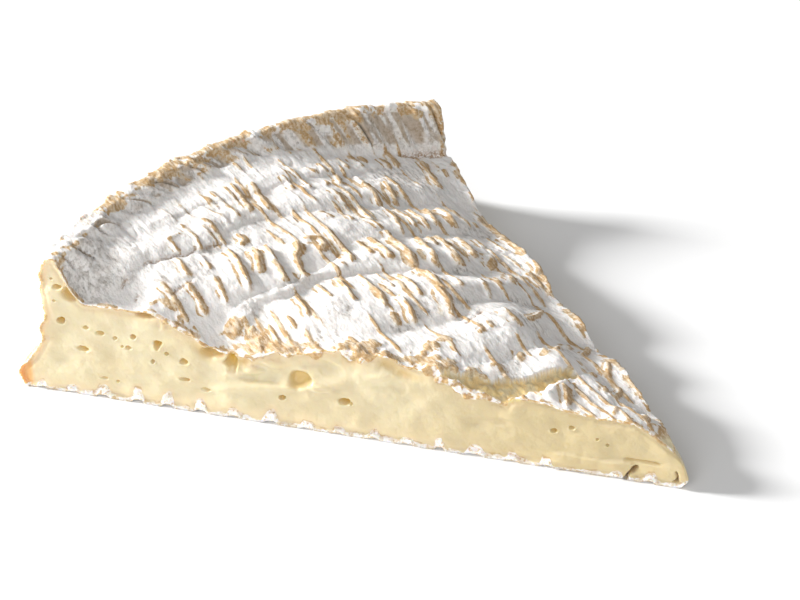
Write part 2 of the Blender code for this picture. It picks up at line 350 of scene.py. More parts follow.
def ridge_relief(x, y):
    """Height, wear and dark edge that the ridges give to points of the top; the dark edge runs along
    each ridge's side away from the key lamp, partly brown rind and partly painted shade.
    """
    points, flat = np.c_[x, y], flat_points(x, y)
    height, wear, dark = faint_ridges(x, y)
    wander = 0.6 * noise(flat, 7.0, 21) + 0.25 * noise(flat, 2.4, 22)
    swell = 0.9 + 0.35 * noise(flat, 5.0, 27) + 0.12 * noise(flat, 2.0, 28)
    broken = 0.35 + 0.65 * ramp(-0.8, -0.2, noise(flat, 4.5, 29))
    twin = ramp(-0.5, 0.2, noise(flat, 9.0, 20))
    ridges = [(ridge_line(*ridge[:4]), *ridge[4:]) for ridge in RIDGES]
    ridges += [(np.array(curl[0], float), *curl[1:]) for curl in CURLS]
    for line, width, rise, worn in ridges:
        near = near_line(points, line, RIDGE_REACH)
        signed, place = along_line(points[near], line)
        signed = signed + wander[near] * min(1.0, width)
        dist = np.abs(signed)
        length = np.hypot(*np.diff(line, axis=0).T).sum()
        end = min(0.3, 1.8 / length)
        taper = ramp(0, end, place) * (1 - ramp(1 - end, 1.0, place))
        wide = width * swell[near] * (0.4 + 0.6 * taper)
        rise *= 0.45 + 0.55 * min(1.0, length / 9)
        skirt = np.exp(-dist / np.where(signed > 0, 1.2, 3.6))
        crest = 0.55 * np.exp(-(dist / wide) ** 2) + 0.5 * skirt
        height[near] = np.maximum(height[near], 0.8 * rise * taper * crest)
        side = signed / wide
        main_line = np.exp(-(np.abs(side - 0.3) / 1.2) ** 3)
        twin_line = 0.8 * twin[near] * np.exp(-((side + 2.2) / 0.6) ** 2)
        lines = worn * taper ** 0.7 * broken[near] * np.maximum(main_line, twin_line)
        wear[near] = np.maximum(wear[near], lines)
        # A brown line on the ridge's side away from the key lamp: partly the rind's colour, partly
        # painted shade
        edge = worn * taper * np.exp(-((side - 1.2) / 0.4) ** 2)
        dark[near] = np.maximum(dark[near], edge)
    near_lip = ramp(134, 150, np.hypot(x, y)) * ramp(0.6, 0.3, azimuth_share(x, y))
    return height * (1 - 0.45 * near_lip), wear * (1 - 0.5 * near_lip), dark * (1 - 0.4 * near_lip)


MAT_HEADING = math.radians(-17)
MAT_SPACING = 4.2


def turned(x, y, heading):
    """Distances along a heading and across it."""
    sin, cos = math.sin(heading), math.cos(heading)
    return x * cos + y * sin, -x * sin + y * cos


def faint_ridges(x, y):
    """The weaker ridges that the mat left between the ones that stand out."""
    flat = flat_points(x, y)
    across = turned(x, y, MAT_HEADING)[1]
    phase = across / MAT_SPACING + 0.35 * noise(flat, 16.0, 23) + 0.08 * noise(flat, 4.0, 24)
    crest = (0.5 + 0.5 * np.cos(2 * np.pi * phase)) ** 7
    strength = ramp(-0.4, 0.6, noise(flat_points(x, across), (13.0, 3.6, 1.0), 25))
    near_front = ramp(0.45, 0.2, azimuth_share(x, y))
    strength *= 1 - 0.6 * near_front * ramp(100, 140, np.hypot(x, y))
    wear = 0.85 * np.sqrt(crest) * ramp(0.35, 0.8, strength)
    return 0.55 * crest * strength, wear, 0.4 * wear


def lump_relief(x, y):
    """Height of the crumbled lumps, which is also where they are worn to tan."""
    height = np.zeros(len(x))
    flat = flat_points(x, y)
    rough = 0.45 * noise(flat, 2.2, 26) + 0.3 * noise(flat, 0.9, 30)
    for cx, cy, radius, rise in LUMPS:
        q = np.hypot(x - cx, y - cy) / (1.25 * radius) + rough
        height = np.maximum(height, 0.75 * rise * (1 - ramp(0.0, 1.25, q)))
    r = np.hypot(x, y)
    crumbly = ramp(46, 58, r) * (1 - ramp(122, 134, r))
    belt = crumbly * ramp(8.0, 2.0, depth_inside(x, y, -1) + 3.0 * noise(flat, 7.0, 38))
    clods = ramp(-0.25, 0.5, noise(flat, 3.3, 39) + 0.4 * noise(flat, 1.4, 40))
    return np.maximum(height, 0.9 * belt * clods)


def painted_shade_patches(x, y):
    """Painted shade on the top, from 0 to 1: grey patches where its slopes and hollows face away from
    the key lamp.
    """
    amount = np.zeros(len(x))
    for cx, cy, long, wide in PAINTED_SHADE_PATCHES:
        q = np.hypot((x - cx) / long, (y - cy) / wide)
        amount = np.maximum(amount, 1 - ramp(0.4, 1.3, q))
    return amount


def top_height(x, y):
    """Height of the top without its ridges, inside the raised edge."""
    r = np.hypot(x, y)
    share = azimuth_share(x, y)
    mean = curve(MEAN_TOP, r) * (1 - BACK_SLUMP * ramp(0.5, 1.0, share))
    calm = ramp(8, 30, r) * (1 - ramp(152, 163, r))
    field = mean + band_relief(x, y) * calm
    front = np.exp(-(depth_inside(x, y, -1) / 11.0) ** 2)
    back = np.exp(-(depth_inside(x, y, 1) / 9.0) ** 2) * (1 - front)
    return field * (1 - front - back) + curve(FRONT_EDGE, r) * front + curve(BACK_EDGE, r) * back


# ---------------------------------------------------------------- the rind's points
def resample(points, step=None, count=None):
    """A smooth section's points at equal steps, of about the given length or of the given count."""
    index = np.arange(len(points))
    dense_at = np.linspace(0, len(points) - 1, 40 * len(points))
    dense = [curve(list(zip(index, column)), dense_at) for column in zip(*points)]
    lengths = np.r_[0, np.cumsum(np.hypot(*np.diff(dense)))]
    at = np.linspace(0, lengths[-1], (count or round(lengths[-1] / step)) + 1)
    return np.transpose([np.interp(at, lengths, column) for column in dense])


def top_section():
    """The radii of the top's rows and their shares of the lip's rise."""
    inner = [(r, 0.0) for r in np.linspace(0, LIP_BASE_RADIUS - 2, 12)]
    rise = LIP_HEIGHT - LIP_FOOT_HEIGHT
    rows = resample([(r, share * rise) for r, share in inner + LIP_SECTION], count=ROWS)
    return rows[:, 0], np.clip(rows[:, 1] / rise, 0, 1)


def on_arc(r, share):
    """x and y at a radius, by the share of the way from the front to the back cut."""
    azimuth = (share * 2 - 1) * HALF_ANGLE
    return -r * np.cos(azimuth), r * np.sin(azimuth)


def azimuth_share(x, y):
    """The share of the way from the front to the back cut, for points of the rind."""
    return np.clip(0.5 + np.arctan2(y, -x) / (2 * HALF_ANGLE), 0, 1)


def rind_points():
    """Base points of the top and the side, the side's count of rows, and the top's shares of rise."""
    radii, rises = top_section()
    share = np.concatenate([np.array([0.5])] + [np.linspace(0, 1, i + 1) for i in range(1, ROWS + 1)])
    counts = np.arange(1, ROWS + 2)
    radius, rise = np.repeat(radii, counts), np.repeat(rises, counts)
    x, y = on_arc(radius, share)
    inward = np.minimum(radius, LIP_BASE_RADIUS) / np.maximum(radius, 1e-6)
    base = top_height(x * inward, y * inward)
    top = np.c_[x, y, base + rise * (LIP_HEIGHT * curve(LIP_CREST, share) - 0.4 - base)]

    side = resample(SIDE_SECTION, SIDE_STEP)[1:]
    share = np.linspace(0, 1, ROWS + 1)
    crest = curve(LIP_CREST, share)
    sides = [np.c_[*on_arc(r, share), z * crest] for r, z in side]
    return top, np.concatenate(sides), len(side), rise


def rind_faces(side_rows):
    """Triangles of the top and the side, wound to face outwards."""
    faces = []
    for i in range(ROWS):
        here, there = i * (i + 1) // 2, (i + 1) * (i + 2) // 2
        j = np.arange(i + 1)
        faces.append(np.c_[here + j, there + j + 1, there + j])
        j = np.arange(i)
        if i:
            faces.append(np.c_[here + j, here + j + 1, there + j + 1])
    start = ROWS * (ROWS + 1) // 2
    for k in range(side_rows):
        here, there = start + k * (ROWS + 1), start + (k + 1) * (ROWS + 1)
        j = np.arange(ROWS)
        faces.append(np.c_[here + j, here + j + 1, there + j + 1])
        faces.append(np.c_[here + j, there + j + 1, there + j])
    return np.concatenate(faces)


def vertex_normals(points, faces):
    """Unit normals of the points, weighted by the area of their faces."""
    a, b, c = (points[faces[:, i]] for i in range(3))
    normal = np.cross(b - a, c - a)
    total = np.zeros_like(points)
    for i in range(3):
        np.add.at(total, faces[:, i], normal)
    return total / np.maximum(np.linalg.norm(total, axis=1), 1e-12)[:, None]


# ---------------------------------------------------------------- single marks on the rind
CRACKS = [
    [(-139, -38), (-138.5, -43), (-140.5, -48), (-142.5, -55)],
    [(-129, -50), (-128.5, -54), (-129.5, -58)], [(-142, -62), (-141.5, -65)],
    [(-137, -63), (-136, -65)], [(-137, -30.5), (-137.5, -37)], [(-69, 1), (-68, -7)],
]
LIP_CREASE = [(-145, 76), (-147, 73), (-149, 68.5), (-152, 61)]
# The torn place: its middle line, (share of the way along it, half width), and its depth
TEAR_LINE = [(-37, 0.5), (-38.5, -6), (-39.5, -12), (-42, -17.5), (-47, -22.5), (-53, -27), (-58, -30)]
TEAR_WIDTHS = [(0, 1.4), (0.2, 2.3), (0.4, 3.0), (0.6, 3.2), (0.8, 2.2), (1.0, 0.6)]
TEAR_DEPTH = 2.1
FLAP = [(-35.6, -3), (-34.8, -9), (-33.5, -15.5)]


def inside_tear(x, y):
    """1 in the place where the rind is torn off at the front cut, 0 outside, with a ragged edge."""
    points = np.c_[x, y]
    flat = flat_points(x, y)
    ragged = 0.8 * noise(flat, 2.6, 51) + 0.4 * noise(flat, 1.0, 52)
    signed, place = along_line(points, np.array(TEAR_LINE))
    return ramp(-0.15, 0.25, curve(TEAR_WIDTHS, place) - np.abs(signed) + ragged)


def flap_relief(x, y):
    """The torn rind's lifted edge on the tip's side."""
    signed, place = along_line(np.c_[x, y], np.array(FLAP))
    taper = ramp(0, 0.2, place) * (1 - ramp(0.9, 1.0, place))
    return 1.8 * taper * np.exp(-(signed / 1.9) ** 2)


def line_marks(x, y, lines, half_width):
    """How near points are to any of some fine lines, from 0 to 1."""
    marks = np.zeros(len(x))
    points = np.c_[x, y]
    for line in lines:
        line = np.array(line, float)
        near = near_line(points, line, 3)
        wander = 0.45 * noise(np.c_[points[near], 0 * near], 2.0, 61)
        signed, place = along_line(points[near], line)
        mark = np.exp(-((signed + wander) / half_width) ** 2) * ramp(0, 0.1, place)
        marks[near] = np.maximum(marks[near], mark)
    return marks


WALL_RADIUS = 175.0


def wall_places(x, y, lip):
    """Distance along the rim, and places on the lip's wall whose folds lean as they run up it."""
    arc = np.arctan2(y, -x) * WALL_RADIUS
    return arc, flat_points(arc + 5.0 * lip, lip * 9)


def rind_zones(z, lip, on_top):
    """How much each point belongs to the flat top, the lip's inner wall, its crest and the side."""
    flat_top = np.where(on_top, 1 - ramp(0.02, 0.4, lip), 0)
    inner = np.where(on_top, ramp(0.04, 0.3, lip) * (1 - ramp(0.85, 1, lip)), 0)
    crest = np.where(on_top, ramp(0.6, 0.95, lip), ramp(35, 39, z))
    wall = np.where(on_top, 0, 1 - ramp(35, 39, z))
    return flat_top, inner, crest, wall


def crumbly_stretch(r):
    """1 along the middle of the front cut, where the rind's edge is crumbled, 0 at its ends."""
    return ramp(42, 56, r) * (1 - ramp(126, 138, r))


def ragged_edges(points, x, y):
    """Let the rind stick out a little, raggedly, over both cuts."""
    r = np.hypot(x, y)
    crumbly = crumbly_stretch(r)
    for side in (-1, 1):
        inside = depth_inside(points[:, 0], points[:, 1], side)
        much = 0.35 + 0.65 * crumbly if side == -1 else 0.5
        rag = 0.15 + much * (0.75 * noise(points, 3.1, 71) + 0.55 * noise(points, 1.3, 72))
        shift = np.minimum(rag, 1.2) * np.exp(-(inside / 1.6) ** 2) * np.where(r < 6, 0.2, 1)
        points[:, :2] += shift[:, None] * cut_frame(side)[1]


def rind_wear(points, x, y, lip, on_top, zones, creases):
    """Where the white mould is rubbed off to tan, apart from the ridges."""
    flat_top, inner, crest, wall = zones
    r = np.hypot(x, y)
    d_front, d_back = depth_inside(x, y, -1), depth_inside(x, y, 1)
    patches = noise(points, 3.6, 81) + 0.5 * noise(points, 1.3, 82)
    share = azimuth_share(x, y)
    fuzzy = 0.5 * noise(points, 0.9, 83) - 0.5 * ramp(0.35, 0.1, share)
    wear = np.maximum.reduce([
        ramp(4.5, 0.6, d_front) * ramp(-0.3, 0.35, patches) * crumbly_stretch(r) * on_top,
        ramp(1.8, 0.3, d_front) * ramp(-0.2, 0.4, patches) * on_top,
        ramp(3.2, 0.4, d_back) * ramp(-0.3, 0.4, patches) * on_top,
        0.8 * crest * ramp(-0.3, 0.5, patches + fuzzy),
    ])
    arc, drape = wall_places(x, y, lip)
    streaks = noise(drape, (2.0, 9.0, 1.0), 87) + 0.4 * patches
    middle = ramp(0.2, 0.4, share) * (1 - 0.6 * ramp(0.78, 0.9, share))
    droop = 0.15 + 0.25 * noise(flat_points(arc, 0 * arc), 3.6, 85)
    droop += 0.15 * noise(flat_points(arc, lip * 9), 1.3, 86)
    drip = ramp(-0.06, 0.08, lip - 1 + droop) * on_top
    drip *= ramp(0.05, 0.35, share) * ramp(-0.7, 0.0, patches)
    lines = noise(flat_points(arc, points[:, 2]), (1.6, 7.0, 1.0), 88) + 0.5 * creases
    tufts = flat_top * ramp(66, 45, r) * ramp(0.45, 0.95, patches)
    return np.maximum.reduce([
        wear, inner * middle * ramp(-0.1, 0.7, streaks) * 0.45, drip, 0.9 * tufts,
        wall * ramp(0.0, 0.7, 0.7 * patches + 0.7 * lines),
    ])


def crinkles(x, y):
    """Fine folds of the rind, mostly along the ridges: 1 in a fold, 0 away from it."""
    place = flat_points(*turned(x, y, MAT_HEADING))
    lines = np.abs(noise(place, (9.0, 2.6, 1.0), 35) + 0.3 * noise(place, 1.5, 36))
    return (1 - ramp(0.02, 0.22, lines)) * ramp(-0.2, 0.5, noise(place, 13.0, 37))


def rind_amount(points, x, y, zones, tear, parts):
    """How far each point of the rind stands out along its normal."""
    flat_top, inner, crest, wall = zones
    height, lumps, folds, tucks, creases = parts
    amount = (height + flap_relief(x, y)) * flat_top * (1 - tear)
    amount = np.maximum(amount, lumps + 0.3 * amount)
    amount += flat_top * (0.42 * fractal(points, 7.0, 41) + 0.09 * fractal(points, 2.0, 42))
    amount -= flat_top * 0.25 * crinkles(x, y)
    amount += inner * (1.4 * folds + 0.12 * fractal(points, 2.0, 43) - 2.0 * tucks)
    amount += crest * (0.4 * fractal(points, 3.4, 44) + 0.14 * fractal(points, 1.2, 45))
    amount += wall * (0.4 * creases + 0.3 * fractal(points, 5.0, 46) + 0.16 * fractal(points, 1.6, 47))
    return amount + tear * (-TEAR_DEPTH + 0.6 * fractal(points, 2.4, 48))


def rind_shade_and_grey(points, x, y, lip, on_top, zones, tucks):
    """How grey the rind is, from 0 to 1, above 1 taupe to dark grey: painted shade on the lip's inner
    wall, its tucks and front end and the top's shaded patches, a faint random grey on the top and taupe
    on the outer side.
    """
    flat_top, inner, _, wall = zones
    share = azimuth_share(x, y)
    drape = wall_places(x, y, lip)[1]
    streaked = 0.45 + 0.55 * ramp(-0.6, 0.5, noise(drape, (1.5, 9, 1), 84))
    # Painted shade on the lip's inner wall, which faces away from the key lamp, darker towards the back
    # cut, and at the lip's front end
    inner_wall_shade = 0.95 + 0.45 * ramp(0.18, 0.32, share)
    lip_end_shade = ramp(154, 160, np.hypot(x, y)) * ramp(0.2, 0.1, share) * on_top * (lip < 0.8)
    # The inner wall's tucks get darker painted shade, the top's patches are painted shade too, and the
    # last term is a random grey tone
    return np.maximum.reduce([
        inner * (inner_wall_shade * streaked + 1.3 * tucks), flat_top * painted_shade_patches(x, y), 0.95 * lip_end_shade,
        1.4 * wall, 0.5 * flat_top * ramp(0.2, 0.8, noise(points, 8.0, 91)),
    ])


def shaped_rind():
    """The top and the side with all their relief, their faces, and what the material reads."""
    top, side, side_rows, rise = rind_points()
    count = len(top)
    points = np.concatenate([top, side])
    faces = rind_faces(side_rows)
    x, y, z = points.T
    on_top = np.arange(len(points)) < count
    lip = np.r_[rise, np.zeros(len(side))]
    zones = rind_zones(z, lip, on_top)
    flat_top = zones[0]

    height, wear, dark = ridge_relief(x, y)
    lumps = 0.75 * lump_relief(x, y) * flat_top
    tear = inside_tear(x, y) * on_top
    cracks = line_marks(x, y, CRACKS, 0.4) * flat_top
    crease = line_marks(x, y, [LIP_CREASE], 0.8) * on_top
    arc, drape = wall_places(x, y, lip)
    folds = noise(drape, (3.4, 14.0, 1.0), 31) + 1.1 * noise(drape, (7.5, 20.0, 1.0), 32)
    tucks = 1 - ramp(0.0, 0.16, np.abs(noise(drape, (5.5, 20.0, 1.0), 34)))
    tucks *= ramp(-0.3, 0.4, folds)
    creases = noise(flat_points(arc, z), (9.0, 2.2, 1.0), 33)

    parts = height, lumps, folds, tucks, creases
    amount = rind_amount(points, x, y, zones, tear, parts) - 0.5 * cracks - 1.1 * crease
    amount *= np.where(on_top, 1, ramp(0, 1.5, z))
    points = points + vertex_normals(points, faces) * amount[:, None]
    ragged_edges(points, x, y)
    points[:, 2] = np.maximum(points[:, 2], 0)

    rubbed = rind_wear(points, x, y, lip, on_top, zones, creases)
    wear = np.maximum.reduce([wear * flat_top, rubbed, ramp(0.15, 0.6, lumps)])
    tip = ramp(4.5, 2.5, np.hypot(x, y)) * on_top
    # A band of painted shade, brown, under the torn rind's overhanging edge
    torn_edge_shade = ramp(0.1, 0.4, tear) * (1 - ramp(0.8, 0.98, tear))
    torn = ramp(0.05, 0.35, tear)
    marks = {
        "wear": wear * (1 - tear), "paste": np.maximum(torn, tip), "deep": torn,
        # dark: the ridges' brown edges, partly painted shade, and painted shade in the cracks, the
        # lip's crease and under the torn rind's edge
        "dark": np.maximum.reduce([dark * flat_top * (1 - tear), cracks + crease, 0.8 * torn_edge_shade]),
        # grey: painted shade on the lip's inner wall, its tucks and the top's shaded patches, with a
        # random grey tone
        "grey": rind_shade_and_grey(points, x, y, lip, on_top, zones, tucks),
    }
    return points, faces, side_rows, count, marks


# ---------------------------------------------------------------- the bottom
GROOVE_SPACING = 7.1
GROOVE_HEADING = math.radians(-22)
GROOVE_DEPTH = 2.5
MOULD_FILL = 0.72  # how much of a groove's height the white mould fills
FRONT_EDGE_STEP, BACK_EDGE_STEP = 0.45, 0.7


def groove(x, y, fill=0.0):
    """Height of the paste over the floor: 0 on its ridges, more in the mat's grooves."""
    across = turned(x, y, GROOVE_HEADING)[1]
    flat = flat_points(x, y)
    phase = across / GROOVE_SPACING + 0.16 * noise(flat, 9.0, 101)
    arch = ramp(0.1, 0.9, np.cos(2 * np.pi * phase))
    depth = GROOVE_DEPTH * (0.75 + 0.45 * noise(flat, 12.0, 102)) + 0.35 * noise(flat, 1.2, 103)
    depth *= 0.6 + 0.75 * ramp(-0.5, 0.3, noise(flat, 8.0, 104))
    rim = 1 - ramp(176.5, 179.5, np.hypot(x, y))
    return np.maximum(arch * depth * rim * (1 - fill), 0)


def triangulate(outline, inner, flip):
    """Triangles between a closed outline and inner points, as indices into both in that order."""
    count = len(outline)
    flat = [Vector(p) for p in np.concatenate([outline, inner])]
    edges = [(i, (i + 1) % count) for i in range(count)]
    result = delaunay_2d_cdt(flat, edges, [], 1, 1e-7)
    origin = [o[0] if o else -1 for o in result[3]]
    faces = np.array([[origin[i] for i in face] for face in result[2]])
    if len(result[0]) != len(flat) or (faces < 0).any():
        print("WARNING: outline crosses itself", len(result[0]) - len(flat))
        faces = faces[(faces >= 0).all(1)]
    return faces[:, ::-1] if flip else faces


def hex_grid(low, high, step):
    """Points of an even triangular grid over a rectangle."""
    rows = []
    for i, v in enumerate(np.arange(low[1], high[1], step * 0.866)):
        us = np.arange(low[0] + (i % 2) * step / 2, high[0], step)
        rows.append(np.c_[us, np.full(len(us), v)])
    return np.concatenate(rows)


def inside_outline(points, outline):
    """Which points an outline goes round."""
    inside = np.zeros(len(points), bool)
    x, y = points.T
    for (x0, y0), (x1, y1) in zip(outline, np.roll(outline, -1, axis=0)):
        if y0 == y1:
            continue
        crosses = (y0 > y) != (y1 > y)
        inside ^= crosses & (x < (x1 - x0) * (y - y0) / (y1 - y0) + x0)
    return inside


def nearest(points, outline):
    """Distance to the nearest outline point, and which one it is."""
    distance = np.empty(len(points))
    which = np.empty(len(points), int)
    for start in range(0, len(points), 2000):
        part = points[start:start + 2000]
        square = ((part[:, None] - outline[None]) ** 2).sum(2)
        which[start:start + 2000] = square.argmin(1)
        distance[start:start + 2000] = np.sqrt(square.min(1))
    return distance, which


def bottom_edges():
    """Points of the bottom along each cut, from the rim inwards; the front ends at the centre."""
    edges, rim = [], SIDE_SECTION[-1][0]
    for side_sign, step in ((-1, FRONT_EDGE_STEP), (1, BACK_EDGE_STEP)):
        r = np.linspace(rim, 0, int(rim / step) + 1)[1:]
        if side_sign == 1:
            r = r[:-1]
        xy = r[:, None] * cut_frame(side_sign)[0]
        edges.append(np.c_[xy, groove(*xy.T, MOULD_FILL) * ramp(0, 6, r)])
    return edges


# ---------------------------------------------------------------- the cut faces
BACK_HOLES = 34
WELL_INSIDE = 8.0  # the most that the mark "edge", the distance from the rind, says


def hole_relief(r, z, flat):
    """Depth of the front cut's holes and hollows, and the mark deep that paints them golden: part paste
    colour, part painted shade, strongest at each hole's upper side and in the deeper hollows.
    """
    relief, deep = np.zeros(len(r)), np.zeros(len(r))
    uneven = 1 + 0.3 * noise(flat, 1.3, 119)
    for cr, cz, hr, hz in FRONT_HOLES:
        q = np.hypot((r - cr) / hr, (z - cz) / hz) * uneven
        bowl = np.sqrt(np.clip(1 - q * q, 0, 1))
        # Holes are deeper at their upper side, and painted darker gold there: painted shade
        upper = np.clip(0.62 + 0.5 * (z - cz + 0.4 * (cr - r)) / hz, 0.1, 1.15)
        relief -= min(2.6 * min(hr, hz) ** 1.3, 4.0) * bowl * upper
        relief += 0.3 * np.exp(-((q - 1.2) / 0.3) ** 2) * (z < cz)
        deep = np.maximum(deep, np.minimum(bowl * upper * min(1.3, max(0.3, 1.2 * min(hr, hz))), 1))
    tilt = 0.35 * noise(flat, 3.0, 114)
    for cr, cz, hr, hz, depth in FRONT_HOLLOWS:
        bowl = 1 - ramp(0.35, 1.15, np.hypot((r - cr) / hr, (z - cz) / hz) + tilt)
        relief -= depth * bowl
        # The deeper hollows get painted shade
        deep = np.maximum(deep, 0.55 * bowl * (depth > 1.5))
    return relief, deep


def front_relief(r, z, distance):
    """Outward relief of the front cut, and the mark deep: the holes and hollows, plus painted shade in
    the foot's slit, in the pockets under the rind's edge and, faintly, towards the tip.
    """
    flat = flat_points(r, z)
    relief, deep = hole_relief(r, z, flat)
    relief += 0.4 * noise(flat, (11.0, 5.0, 1.0), 111) + 0.36 * noise(flat, (4.6, 3.4, 1.0), 112)
    strip = ramp(5.6, 4.6, z + 0.5 * noise(flat, 3.0, 117)) * ramp(12.5, 14, r)
    relief += 0.5 * strip * (1 - ramp(30, 44, r))
    relief += 0.06 * noise(flat, (1.6, 0.9, 1.0), 113)
    ridge = np.exp(-((z - 8 - (130 - r) * 0.2) / 1.3) ** 2) * ramp(88, 96, r)
    relief += 0.8 * ridge * (1 - ramp(124, 132, r))
    step = ramp(-0.5, 0.5, z - 12.4 - 0.05 * (110 - r)) * ramp(84, 98, r)
    relief -= 0.7 * step * (1 - ramp(112, 124, r))
    crumbs = ramp(0.6, 0.2, np.hypot((r - 141.5) / 6, (z - 25) / 3))
    relief += crumbs * 0.7 * noise(flat, 1.3, 115)
    slit = np.exp(-((z - 6.1 - 0.02 * (r - 12)) / 0.35) ** 2)
    slit *= ramp(6.5, 8.5, r) * (1 - ramp(14.5, 16.5, r))
    relief -= 1.0 * slit
    # Pockets pressed in under the rind's edge, painted golden as shade under the overhang
    pockets = ramp(-0.1, 0.6, noise(flat, (5.0, 40.0, 1.0), 116))
    pockets *= ramp(48, 58, r) * (1 - ramp(128, 140, r)) * (z > 9)
    pockets *= np.exp(-((distance - 2.8) / 1.3) ** 2)
    relief -= 1.5 * pockets
    # The paste is painted a little darker towards the tip, and golden in the slit: painted shade
    tip_painted_shade = 0.13 * ramp(95, 35, r)
    return relief, np.maximum.reduce([deep, 0.5 * slit, 0.6 * pockets, tip_painted_shade])


def foot_cracks(r, z):
    """The two upright cracks through the foot's rind near the tip: 1 inside them."""
    bend = 1.0 * noise(flat_points(r, z), 1.6, 118)
    wide = np.exp(-((r - 15.6 + 0.5 * z + bend) / 0.55) ** 4) * (1 - ramp(3.6, 5.0, z))
    fine = np.exp(-((r - 3.4 + bend) / 0.45) ** 4) * (1 - ramp(4.4, 5.2, z))
    return np.maximum(wide, 0.8 * fine * ramp(1.2, 2.0, z))


def back_relief(r, z, _):
    """Outward relief of the back cut, with a few small holes, and how deep each point lies."""
    flat = np.c_[r, z, 0 * r + 40]
    relief = 0.25 * noise(flat, (15.0, 5.0, 1.0), 121) + 0.1 * noise(flat, (4.0, 2.0, 1.0), 122)
    deep = np.zeros(len(r))
    rng = np.random.default_rng(5)
    for _ in range(BACK_HOLES):
        cr, share = rng.uniform(20, 174), rng.uniform(0.25, 0.75)
        hr = rng.uniform(0.4, 1.5)
        cz = share * float(curve(BACK_EDGE, np.array([min(cr, 160.0)]))[0])
        q = np.hypot((r - cr) / hr, (z - cz) / (0.7 * hr))
        bowl = np.sqrt(np.clip(1 - q * q, 0, 1))
        relief -= (hr + 0.4) * bowl
        deep = np.maximum(deep, bowl)
    return relief, deep


def hole_rings():
    """Points round each hole of the front cut, so that its edge is crisp."""
    rings = []
    for cr, cz, hr, hz in FRONT_HOLES:
        count = int(10 + 7 * max(hr, hz))
        for q in (0.45, 0.75, 0.93, 1.04, 1.25):
            a = np.arange(count) / count * 2 * np.pi
            rings.append(np.c_[cr + q * hr * np.cos(a), cz + q * hz * np.sin(a)])
        rings.append(np.array([[cr, cz]]))
    return np.concatenate(rings)


def face_points(outline, side_sign, step):
    """Points inside a cut face's outline, denser round its holes."""
    inner = hex_grid(outline.min(0), outline.max(0), step)
    if side_sign == -1:
        keep = np.ones(len(inner), bool)
        for cr, cz, hr, hz in FRONT_HOLES:
            keep &= np.hypot((inner[:, 0] - cr) / hr, (inner[:, 1] - cz) / hz) > 1.45
        inner = np.concatenate([inner[keep], hole_rings()])
    return inner[inside_outline(inner, outline)]


def mould_edge(r, z, distance, side_sign):
    """Distance into the paste from the rind, below 0 where rind hangs over it or fills an arch."""
    along_x, along_y = cut_frame(side_sign)[0]
    flat = np.c_[r, z, 0 * r + side_sign]
    arch = groove(r * along_x, r * along_y)
    low = (z - arch) * np.where(z < 6, 1, 9) + 0.6 * noise(flat, 1.6, 135)
    in_arch = (arch > 0.7) & (low < 0.2)
    crumbly = ramp(46, 58, r) * (1 - ramp(122, 136, r))
    hang = 0.3 + crumbly * 2.4 * ramp(-0.45, 0.7, noise(flat_points(r, 0 * r), 4.5, 136))
    hang += 0.9 * ramp(128, 136, r) * ramp(-0.2, 0.6, noise(flat, (6.0, 40.0, 1.0), 137))
    hang += (0.3 + 0.6 * crumbly) * noise(flat, 1.5, 138)
    hang *= 1 - ramp(158, 163, r)
    high = distance - np.where(z > 7, np.maximum(hang, 0), 0)
    edge = np.where(in_arch, np.minimum(low, 0.1), np.minimum(high, np.maximum(low - 0.6, 0.12)))
    return edge, in_arch


def rind_fluff(r, z, edge, in_arch):
    """How far the rind's mould stands out over the cut, in the foot's arches and along the top."""
    flat = flat_points(r, z)
    fluff = in_arch * (0.35 + 0.55 * noise(flat, 1.5, 132) + 0.3 * noise(flat, 0.8, 133))
    flaps = ramp(0.5, -0.2, edge) * (z > 7) * (r < 162)
    return fluff + flaps * (0.55 + 0.5 * noise(flat, 2.0, 134) + 0.3 * noise(flat, 1.0, 139))


def cut_face(points, loop, rind_count, side_sign, step):
    """Inner points and triangles of a cut face, inside the loop of points already made."""
    direction, normal = cut_frame(side_sign)
    rim = points[loop]
    outline = np.c_[rim[:, :2] @ direction, rim[:, 2]]
    inner = face_points(outline, side_sign, step)
    distance, which = nearest(inner, outline)
    keep = distance > 0.6 * step
    inner, distance, which = inner[keep], distance[keep], which[keep]
    r, z = inner.T
    from_rind = nearest(inner, outline[:rind_count])[0]
    relief, deep = (front_relief if side_sign == -1 else back_relief)(r, z, from_rind)
    edge, in_arch = mould_edge(r, z, from_rind, side_sign)
    hold = 1 - ramp(0.45, 1.0, distance + 0.25 * noise(flat_points(r, z), 1.1, 131))
    under = np.exp(-((from_rind - 1.4) / 0.7) ** 2) * 0.35
    crack = foot_cracks(r, z) if side_sign == -1 else 0 * r
    out = (rim[:, :2] @ normal)[which] * hold
    out += (relief - under + rind_fluff(r, z, edge, in_arch)) * (1 - hold) - 2.6 * crack
    # The mark warm or tip_shade paints the paste darker towards the tip, and dark browns the foot's
    # cracks: both painted shade
    marks = {
        "edge": np.minimum(edge, WELL_INSIDE), "deep": deep, "dark": crack,
        "grey": np.where(in_arch, 1.0, 0.5 * (z < 7)), "tip_shade": ramp(100, 30, r),
        "foot": ramp(178.8, 180.8, r) * (1 - ramp(7.0, 9.5, z)),
    }
    inner_points = np.c_[r[:, None] * direction + out[:, None] * normal, z]
    return inner_points, triangulate(outline, inner, flip=side_sign == -1), marks


# ---------------------------------------------------------------- one closed mesh
MARKS = ("wear", "dark", "grey", "paste", "edge", "deep", "tip_shade", "foot")


